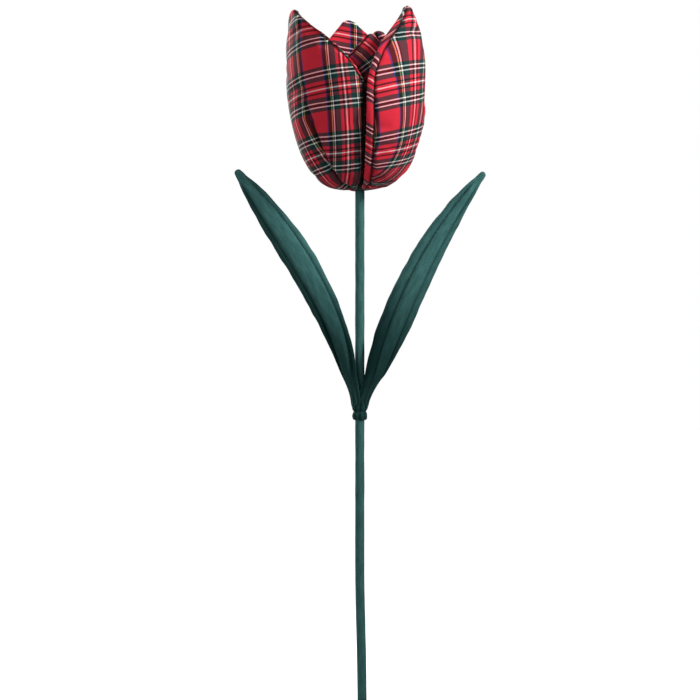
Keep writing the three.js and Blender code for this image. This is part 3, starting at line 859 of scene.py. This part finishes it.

# %% [markdown]
# ## The stem sleeve
# The sleeve is a strip of velvet sewn into a tube and drawn over the plastic one. It is a grid rolled
# twice: once round the stem, and once up its outside and down its inside, so that the cloth has its
# thickness at the cut end. A little unevenness, and a ridge along the seam at the back, keep it from
# looking turned on a lathe.

# %% Stem sleeve
SLEEVE_COLUMNS = 28
SLEEVE_ROWS = 130
SLEEVE_LUMP = 0.22 * MM
SLEEVE_LUMP_LENGTH = 0.016
SLEEVE_LUMP_ROUND = 0.004
SEAM_RIDGE = 0.35 * MM
SEAM_RIDGE_WIDTH = 0.05
BOW_HEIGHT = 130 * MM
CLOTH = 0.8 * MM
sleeve_low, sleeve_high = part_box("stem_sleeve")
STEM_RADIUS = (sleeve_high.y - sleeve_low.y) / 2
STEM_BORE = STEM_RADIUS - CLOTH


def stem_axis(height):
    """How far sideways the stem's middle lies at a height: it leaves the cut end in a slight bow."""
    return HEAD_FOOT[0] * smoothstep(height, 0, BOW_HEIGHT)


def stem_sleeve_cloth():
    turns = np.linspace(0, 2 * math.pi, SLEEVE_COLUMNS + 1)
    outward = np.array([[math.sin(turn), math.cos(turn)] for turn in turns])
    ridge = SEAM_RIDGE * np.exp(-(((1 - np.cos(turns)) / SEAM_RIDGE_WIDTH) ** 2))
    heights = np.linspace(sleeve_low.z, sleeve_high.z, SLEEVE_ROWS + 1)
    walls = [(h, STEM_RADIUS, 1.0) for h in heights] + [(h, STEM_BORE, 0.0) for h in heights[::-1]]
    points, cloth = [], []
    for height, radius, outside in walls + walls[:1]:
        places = [(x * SLEEVE_LUMP_ROUND, y * SLEEVE_LUMP_ROUND, height) for x, y in outward]
        bumps = np.array([lump(place, SLEEVE_LUMP_LENGTH) for place in places])
        reach = radius + outside * (SLEEVE_LUMP * bumps + ridge)
        level = np.full_like(turns, height)
        sideways = stem_axis(level) + outward[:, 0] * reach
        points.append(np.stack([sideways, outward[:, 1] * reach, level], axis=1))
        cloth.append(np.stack([turns * STEM_RADIUS, level], axis=1))
    return np.array(points), np.array(cloth)


sleeve_points, sleeve_cloth = stem_sleeve_cloth()
stem_sleeve = new_piece("stem_sleeve_velvet", rolled_grid(sleeve_points, [sleeve_cloth]), velvet)
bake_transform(stem_sleeve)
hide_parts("stem_sleeve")

# %% [markdown]
# ## Wires, tube and core
# What the cloth hides is still there: drawn steel wires, the plastic tube in the stem and the plastic
# core of the head. These keep their measured solids and get plain finishes: faint mottling on the wire
# and faint flow marks in the plastic. The leaf wires come with the leaves.

# %% Hard pieces
STEEL_DARK, STEEL_LIGHT = dye(118, 120, 122), dye(168, 170, 172)
PLASTIC_DARK, PLASTIC_LIGHT = dye(30, 62, 52), dye(38, 72, 60)
STEEL_MARK = 0.6 * MM
PLASTIC_FLOW = 6 * MM


def mottled_material(name, dark, light, size, detail=2.0, **constants):
    """A finish that wanders between two colours in spots of a size."""
    material, tree, shader = new_material(name, **constants)
    place = add_node(tree, "ShaderNodeTexCoord").outputs["Object"]
    spots = noise_node(tree, place, size, detail)
    tree.links.new(mix_colours(tree, spots, dark, light), shader["Base Color"])
    return material


def finish_node(name, material):
    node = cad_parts[name]
    node.data.materials.clear()
    node.data.materials.append(material)


steel = mottled_material(
    "drawn steel wire", STEEL_DARK, STEEL_LIGHT, STEEL_MARK, detail=3.0, Metallic=1.0, Roughness=0.34
)
plastic = mottled_material(
    "matte green plastic", PLASTIC_DARK, PLASTIC_LIGHT, PLASTIC_FLOW, Roughness=0.55
)
wires = [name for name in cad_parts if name.endswith("_wire") and not name.startswith("leaf")]
for name in wires:
    finish_node(name, steel)
for name in ("stem_tube", "flower_core"):
    finish_node(name, plastic)
print("wires finished:", len(wires))

# %% [markdown]
# ## The leaves
# A leaf is two velvet panels sewn together round a wire. Two lines of stitching leave a channel along
# the middle for the wire, so the leaf has three soft ridges: the channel and a wing on each side that
# leans back. At the root the leaf is curled round the stem. Its middle line is a curve like the
# measured model's. Each wing gets its own painted shade for how far it is turned from the light, the
# stitches get painted shade in their creases, and all of it deepens towards the root, where little
# light reaches. The table of leaves gives places and widths in millimetres from the root, and what is
# a share or a shade goes from 0 to 1.

# %% Leaf shape
binding_low, binding_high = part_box("leaf_binding")
# each leaf's painted shade: on each wing, in each crease along the stitches, and towards the root
LEAF_FORMS = {
    "leaf_left": dict(
        side=-1, ridge=-2, skew=1.29, tip=(-117, -10, 219.3), root_lean=(-10.8, -4, 81.7),
        tip_lean=(-59.3, 4, 76), half_width=15.6, channel=0.56,
        painted_wing_shades=(0.6, 0.08), creases=(0.5, 0.15), root_shade=0.66,
    ),
    "leaf_right": dict(
        side=1, ridge=16, skew=0.75, tip=(118.8, 8, 219), root_lean=(23.6, -6, 60.5),
        tip_lean=(63.6, 10, 76), half_width=17.2, channel=0.42,
        painted_wing_shades=(0.08, 0.16), creases=(0.25, 0.3), root_shade=0.82,
    ),
}
LEAF_BEND = 7.2 * MM
LEAF_ROOT_GAP = 0.3 * MM
LEAF_ROOT = np.array([HEAD_FOOT[0], 0, binding_high.z + LEAF_ROOT_GAP])
LEAF_ROOT_HALF_WIDTH = 8.6 * MM
LEAF_TIP_HALF_WIDTH = 2.0 * MM
LEAF_ROOT_AZIMUTH = 60
LEAF_TURN = 0.35
LEAF_OPEN = 0.13
LEAF_SWELL = 0.8
LEAF_LINE_POINTS = 601
LEAF_STEP = 0.002
NUB_NECK, NUB_NECK_PLACE, NUB_NECK_LENGTH = 0.14, 0.962, 0.014
NUB_SHARES = (0.93, 0.99)
NUB_LIFT = 1.3 * MM
PANEL_LIFT = 1.0 * MM
WING_FOLD = math.radians(30)
WING_RISE = 2.2 * MM
# where a wing's painted shade begins beside the channel's stitches
WING_SHADE_EDGE = (-0.4 * MM, 1.2 * MM)
CHANNEL_RISE = 3.4 * MM
CHANNEL_POWER = 3
STITCH_DEPTH = 0.7 * MM
STITCH_SHADE = 1.1 * MM
FILLS, EMPTIES = (0.02, 0.14), (0.9, 0.97)
ROOT_PLEAT = 0.7 * MM
ROOT_PLEATS = 5
ROOT_PLEAT_SHARES = (0.02, 0.15)
# how far painted shade reaches towards the root, in the creases and over the wings near the root
ROOT_SHADE_SHARES = (0.15, 0.58)
ROOT_CREASE_SHADE = 1.4
ROOT_WING_SHADE = 0.35
INNER_WING_SHADE = 0.85
EDGE_PUCKER = 0.7 * MM
EDGE_PUCKER_LENGTH = 0.011
EDGES_APART = 0.05
EDGE_POWER = 6
ROUND_EDGE_POWER = 12


class Leaf:
    """Where every point of one leaf lies."""

    def __init__(self, form):
        self.side, self.ridge, self.skew = form["side"], form["ridge"], form["skew"]
        self.widest, self.channel = form["half_width"] * MM, form["channel"]
        self.painted_wing_shades, self.creases, self.root_shade = form["painted_wing_shades"], form["creases"], form["root_shade"]
        root = LEAF_ROOT + self.facing(0) * LEAF_BEND
        tip = LEAF_ROOT + np.array(form["tip"]) * MM
        root_lean, tip_lean = np.array(form["root_lean"]) * MM, np.array(form["tip_lean"]) * MM
        corners = root, root + root_lean, tip - tip_lean, tip
        share = np.linspace(0, 1, LEAF_LINE_POINTS)[:, None]
        rest = 1 - share
        weights = rest**3, 3 * share * rest**2, 3 * share**2 * rest, share**3
        self.curve = sum(weight * corner for weight, corner in zip(weights, corners))
        steps = np.linalg.norm(np.diff(self.curve, axis=0), axis=1)
        run = np.concatenate([[0], np.cumsum(steps)])
        self.length, self.shares = run[-1], run / run[-1]

    def line(self, share):
        return np.array([np.interp(share, self.shares, self.curve[:, axis]) for axis in range(3)])

    def facing(self, share):
        turn = math.radians(lerp(LEAF_ROOT_AZIMUTH, self.ridge, smoothstep(share, 0, LEAF_TURN)))
        return np.array([self.side * math.sin(turn), -math.cos(turn), 0])

    def half_width(self, share):
        ends = lerp(LEAF_ROOT_HALF_WIDTH, LEAF_TIP_HALF_WIDTH, share)
        swell = math.sin(math.pi * min(share, 1) ** self.skew) ** LEAF_SWELL
        neck = NUB_NECK * math.exp(-(((share - NUB_NECK_PLACE) / NUB_NECK_LENGTH) ** 2))
        return (ends + (self.widest - ends) * swell) * (1 - neck)

    def section(self, share, reach):
        """Across the leaf and out of its face: curled round the stem at the root, wings above."""
        curl = 1 - smoothstep(share, 0, LEAF_OPEN)
        beside = np.clip(np.abs(reach) - self.channel * self.half_width(share), 0, None)
        across = np.sign(reach) * (np.abs(reach) - beside * (1 - math.cos(WING_FOLD)))
        across = lerp(across, LEAF_BEND * np.sin(reach / LEAF_BEND), curl)
        back = lerp(beside * math.sin(WING_FOLD), LEAF_BEND * (1 - np.cos(reach / LEAF_BEND)), curl)
        return np.stack([across, -back], axis=1)

    def fullness(self, share):
        """How far the leaf is filled out, from 0 at its ends to 1."""
        return smoothstep(share, *FILLS) * (1 - smoothstep(share, *EMPTIES))

    def relief(self, share, reach, half):
        """How far a panel stands off the wire's line, stitched down on both sides of the channel."""
        channel = self.channel * half
        beside = np.clip((np.abs(reach) - channel) / (half - channel), 0, 1)
        ridge = CHANNEL_RISE * np.clip(1 - np.abs(reach / channel) ** CHANNEL_POWER, 0, 1) ** 0.5
        wing = WING_RISE * np.sin(math.pi * beside) ** 0.5
        pleats = ROOT_PLEAT * np.sin(ROOT_PLEATS * math.pi * reach / half)
        pleats = pleats * (1 - smoothstep(share, *ROOT_PLEAT_SHARES))
        lift = lerp(PANEL_LIFT, NUB_LIFT, smoothstep(share, *NUB_SHARES))
        return lift + (ridge + wing - STITCH_DEPTH) * self.fullness(share) + pleats

    def folds(self, share, reach, half):
        """Painted shade: towards the root, in the creases along the stitches, and on wings turned from the
        light.
        """
        beside = np.abs(reach) - self.channel * half
        near_root = 1 - smoothstep(share, *ROOT_SHADE_SHARES)
        full = self.fullness(share)
        # painted shade in the creases, deeper towards the root, and on wings turned from the light
        creases = np.where(reach < 0, *self.creases) * (1 + ROOT_CREASE_SHADE * near_root)
        stitched = creases * np.exp(-((beside / STITCH_SHADE) ** 2)) * full
        shade_at_root = np.where(reach * self.side < 0, INNER_WING_SHADE, ROOT_WING_SHADE) * near_root
        wings = np.maximum(np.where(reach < 0, *self.painted_wing_shades), shade_at_root)
        painted_wing_shade = wings * smoothstep(beside, *WING_SHADE_EDGE) * full
        # painted shade towards the root, combined with the painted crease and wing shade
        painted_root_shade = self.root_shade * near_root
        return 1 - (1 - painted_root_shade) * np.clip(1 - stitched, 0, 1) * (1 - painted_wing_shade)

    def directions(self, share):
        """Along the leaf, sideways and out of its face."""
        tangent = self.line(min(share + LEAF_STEP, 1)) - self.line(max(share - LEAF_STEP, 0))
        tangent /= np.linalg.norm(tangent)
        along = lerp(np.array([0, 0, 1.0]), tangent, smoothstep(share, 0, LEAF_OPEN))
        along /= np.linalg.norm(along)
        ridge = self.facing(share) - along * (self.facing(share) @ along)
        ridge /= np.linalg.norm(ridge)
        return along, np.cross(along, ridge), ridge

    def row(self, share, across, sides, swell=1.0, beyond=0.0):
        """One row of points round the leaf, their places on the flat velvet, and their painted shade."""
        along, sideways, ridge = self.directions(share)
        half = self.half_width(share)
        run = share * self.length
        places = [(sign * EDGES_APART, run, self.side) for sign in np.sign(across)]
        wave = np.array([lump(place, EDGE_PUCKER_LENGTH) for place in places])
        pucker = EDGE_PUCKER * wave * np.abs(across) ** EDGE_POWER
        reach = across * (half + pucker)
        slope = self.section(share, reach + STEP) - self.section(share, reach - STEP)
        slope /= np.linalg.norm(slope, axis=1)[:, None]
        out = np.stack([-slope[:, 1], slope[:, 0]], axis=1)
        round_edge = np.sqrt(np.clip(1 - across**ROUND_EDGE_POWER, 0, 1))
        lift = self.relief(share, reach, half) * round_edge * sides + pucker
        flat = (self.section(share, reach) + out * lift[:, None]) * swell
        middle = self.line(share) + along * beyond
        points = middle + np.outer(flat[:, 0], sideways) + np.outer(flat[:, 1], ridge)
        cloth = np.stack([reach, np.full_like(reach, run + beyond)], axis=1)
        return points, cloth, self.folds(share, reach, half)


print("leaf lengths:", [round(Leaf(form).length / MM) for form in LEAF_FORMS.values()], "mm")

# %% [markdown]
# ## Sewing the leaves
# Each leaf is one grid walked over its front and back from edge to edge, with columns along the
# stitching. The real wire bends where the velvet does, over a length at the root, and a stiff solid
# would come through the cloth there. So each leaf's wire is made again along the same middle line as
# the velvet.

# %% Leaves in place
STRIP_COLUMNS = 14
LEAF_ROWS = 84
NUB_DOME = 3.0 * MM
LEAF_TUCK = 4 * MM
LEAF_TUCK_SWELLS = (0.0, 0.8)
LEAF_WIRE_RADIUS = 0.8 * MM
LEAF_WIRE_SHARE = 0.95
LEAF_WIRE_COLUMNS = 10


def bend_at_root(piece):
    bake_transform(piece)


def leaf_velvet(leaf):
    """The points, cloth map and painted shade of a leaf's two panels."""
    edges = (-1, -leaf.channel, leaf.channel, 1)
    strips = [clustered(start, end, STRIP_COLUMNS)[1:] for start, end in zip(edges, edges[1:])]
    spread = np.concatenate([[-1.0], *strips])
    across = np.concatenate([spread[::-1], spread[1:]])
    sides = np.concatenate([np.ones(len(spread)), -np.ones(len(spread) - 1)])
    last = 1 - NUB_DOME / leaf.length
    quarter = np.linspace(0, math.pi / 2, DOME_ROWS + 1)[1:]
    tucked = [leaf.row(0.0, across, sides, swell, -LEAF_TUCK) for swell in LEAF_TUCK_SWELLS]
    body = [leaf.row(share, across, sides) for share in np.linspace(0, last, LEAF_ROWS + 1)]
    tip = [leaf.row(last, across, sides, math.cos(a), NUB_DOME * math.sin(a)) for a in quarter]
    rows = tucked + body + tip
    return tuple(np.stack([row[i] for row in rows]) for i in range(3))


def leaf_wire(name, leaf):
    """The wire in the channel, made along the leaf's middle line."""
    turns = np.linspace(0, 2 * math.pi, LEAF_WIRE_COLUMNS + 1)
    rounds = np.stack([np.cos(turns), np.sin(turns)], axis=1) * LEAF_WIRE_RADIUS
    shares = np.linspace(0, LEAF_WIRE_SHARE, LEAF_ROWS + 1)
    points = []
    for share, size in zip([0, *shares, shares[-1]], [0, *np.ones_like(shares), 0]):
        points.append(leaf.line(share) + size * rounds @ np.stack(leaf.directions(share)[1:]))
    points = np.array(points)
    piece = new_piece(f"{name}_bent_wire", rolled_grid(points, [points[..., :2]]), steel)
    bend_at_root(piece)
    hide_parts(f"{name}_wire")
    return piece


def sew_leaf(name):
    leaf = Leaf(LEAF_FORMS[name])
    wire = leaf_wire(name, leaf)
    points, cloth, folds = leaf_velvet(leaf)
    piece = new_piece(f"{name}_velvet", rolled_grid(points, [cloth], folds=folds), velvet)
    round_off(piece)
    bend_at_root(piece)
    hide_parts(f"{name}_front", f"{name}_back")


for name in LEAF_FORMS:
    sew_leaf(name)

# %% [markdown]
# ## The binding
# A strip of the velvet is gathered round the stem over the leaf roots: smooth below, where it is drawn
# tight, and bunched into small folds above. Its profile goes up the outside, from just below the
# solid, and down the inside. The heights and radii are in millimetres, since all of them are small.
# The whole binding gets painted shade, deeper between the gathers and lighter where it bunches out.

# %% Leaf binding
BINDING_COLUMNS = 108
BINDING_PROFILE = (
    (-0.8, 5.1), (-1.5, 5.9), (-0.7, 6.5), (0.9, 6.9), (2.9, 7.0), (4.9, 6.8), (6.1, 6.2), (6.7, 5.8),
    (7.3, 6.2), (8.7, 7.0), (10.7, 7.4), (12.8, 7.4), (14.6, 7.0), (15.8, 6.3), (15.8, 5.6), (15.0, 5.1),
    (10.0, 4.9), (4.0, 4.9), (-0.8, 5.1),
)
OUTSIDE_RADII = (5.2, 7.2)
GATHERS = 9
GATHER_HEIGHTS = (6.5, 9.5)
GATHER_DEPTH = 1.3 * MM
GATHER_LIFT = 0.8 * MM
TIGHT_GATHER = 0.18
MIDDLE_FOLD = 0.6
SWAY, SWAY_RISE, SWAY_SIZE = 1.6, 0.03, 0.9
BUNCH = 0.8 * MM
BUNCH_RISE, BUNCH_SIZE = 0.16, 0.36
# painted shade over the whole binding, more of it between the gathers, and painted light where it bunches
# out
BINDING_SHADE, GATHER_SHADE, BUNCH_LIGHT = 0.68, 0.3, 0.2
BINDING_GIRTH_RADIUS = 7.5 * MM


def unevenness(turns, height, rise, size):
    """Lumps round the binding at a height."""
    return np.array([lump((math.cos(turn), math.sin(turn), height * rise), size) for turn in turns])


def binding_velvet():
    turns = np.linspace(0, 2 * math.pi, BINDING_COLUMNS + 1)
    points, cloth, creases = [], [], []
    length = 0.0
    for index, (height, reach) in enumerate(BINDING_PROFILE):
        outside = smoothstep(reach, *OUTSIDE_RADII)
        proud = lerp(TIGHT_GATHER, 1, smoothstep(height, *GATHER_HEIGHTS)) * outside
        sway = SWAY * unevenness(turns, height, SWAY_RISE, SWAY_SIZE)
        folds = np.abs(np.cos(GATHERS * turns / 2 + sway))
        bunch = unevenness(turns, height, BUNCH_RISE, BUNCH_SIZE)
        fold = proud * (folds - MIDDLE_FOLD)
        radius = reach * MM + fold * GATHER_DEPTH + outside * BUNCH * bunch
        level = binding_low.z + height * MM + fold * GATHER_LIFT
        sideways = HEAD_FOOT[0] + radius * np.sin(turns)
        points.append(np.stack([sideways, radius * np.cos(turns), level], axis=1))
        cloth.append(np.stack([turns * BINDING_GIRTH_RADIUS, np.full_like(turns, length)], axis=1))
        # painted shade, deeper in the gathers' hollows and lighter on the bunches
        creases.append(np.clip(BINDING_SHADE + (1 - folds) * GATHER_SHADE - BUNCH_LIGHT * bunch, 0, 1))
        after = BINDING_PROFILE[(index + 1) % len(BINDING_PROFILE)]
        length += math.hypot(after[0] - height, after[1] - reach) * MM
    return np.array(points), np.array(cloth), np.array(creases)


binding_points, binding_cloth, binding_painted_shade = binding_velvet()
binding_grid = rolled_grid(binding_points, [binding_cloth], folds=binding_painted_shade)
binding = new_piece("leaf_binding_velvet", binding_grid, velvet)
round_off(binding)
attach(binding, "stem")
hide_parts("leaf_binding")

# %% [markdown]
# ## Studio
# The tulip stands against plain white. A small lamp from the right gives the light its direction, a
# wide weak one fills from the front left, and a stronger one from behind lights the far side of the
# head. All three are narrow and aimed at the head, so the light falls off towards the foot. The floor
# and the surroundings are white to the camera and weaker as a light. The camera looks level from the
# front at about half the tulip's height.

# %% Studio and camera
LAMPS = {
    "key lamp": dict(place=(1.15, -0.55, 1.2), aim=(0, 0, 0.56), power=2.35, size=0.35, spread=46),
    "front fill": dict(place=(-0.9, -1.5, 0.9), aim=(0, 0, 0.58), power=1.15, size=0.9, spread=50),
    "back fill": dict(place=(-1.2, 1.2, 1.4), aim=(0, 0, 0.56), power=5.5, size=0.8, spread=50),
}
PLAIN_WHITE = (1, 1, 1, 1)
SURROUNDINGS_LIGHT = 0.26
FLOOR_LIGHT = 0.05
FLOOR_HALF_WIDTH = 6
FLOOR_GAP = 1 * MM
CAMERA_PLACE = (-0.0114, -1.84, 0.332)
CAMERA_LENS = 99.8
CAMERA_SENSOR = 36


def add_lamp(name, place, aim, power, size, spread):
    lamp = bpy.data.objects.new(name, bpy.data.lights.new(name, "AREA"))
    lamp.data.shape = "DISK"
    lamp.data.size = size
    lamp.data.energy = power
    lamp.data.spread = math.radians(spread)
    lamp.location = place
    lamp.rotation_euler = (Vector(aim) - Vector(place)).to_track_quat("-Z", "Y").to_euler()
    bpy.context.scene.collection.objects.link(lamp)


def white_to_camera(tree, light):
    """A strength that is white where the camera looks, and only light for everything else."""
    ray = add_node(tree, "ShaderNodeLightPath").outputs["Is Camera Ray"]
    return range_node(tree, ray, 0.0, 1.0, light, 1.0)


def white_surroundings():
    world = bpy.context.scene.world or bpy.data.worlds.new("studio")
    bpy.context.scene.world = world
    world.use_nodes = True
    tree = world.node_tree
    background = tree.nodes["Background"]
    background.inputs["Color"].default_value = PLAIN_WHITE
    feed(tree, background.inputs["Strength"], white_to_camera(tree, SURROUNDINGS_LIGHT))


def white_floor():
    bm = bmesh.new()
    bmesh.ops.create_grid(bm, x_segments=1, y_segments=1, size=FLOOR_HALF_WIDTH)
    bmesh.ops.translate(bm, verts=bm.verts, vec=(0, 0, sleeve_low.z - FLOOR_GAP))
    paper, tree, shader = new_material("white paper", Roughness=0.9, Base_Color=dye(190, 190, 190))
    shader["Emission Color"].default_value = PLAIN_WHITE
    feed(tree, shader["Emission Strength"], white_to_camera(tree, FLOOR_LIGHT))
    new_piece("studio_floor", bm, paper)


white_floor()
white_surroundings()
for name, lamp in LAMPS.items():
    add_lamp(name, **lamp)
camera = bpy.data.objects.new("camera", bpy.data.cameras.new("camera"))
camera.location = CAMERA_PLACE
camera.rotation_euler = (math.pi / 2, 0, 0)
camera.data.lens = CAMERA_LENS
camera.data.sensor_width = CAMERA_SENSOR
bpy.context.scene.collection.objects.link(camera)
bpy.context.scene.camera = camera
bpy.context.scene.view_settings.view_transform = "Standard"
print("camera distance:", round(-camera.location.y, 2), "m")
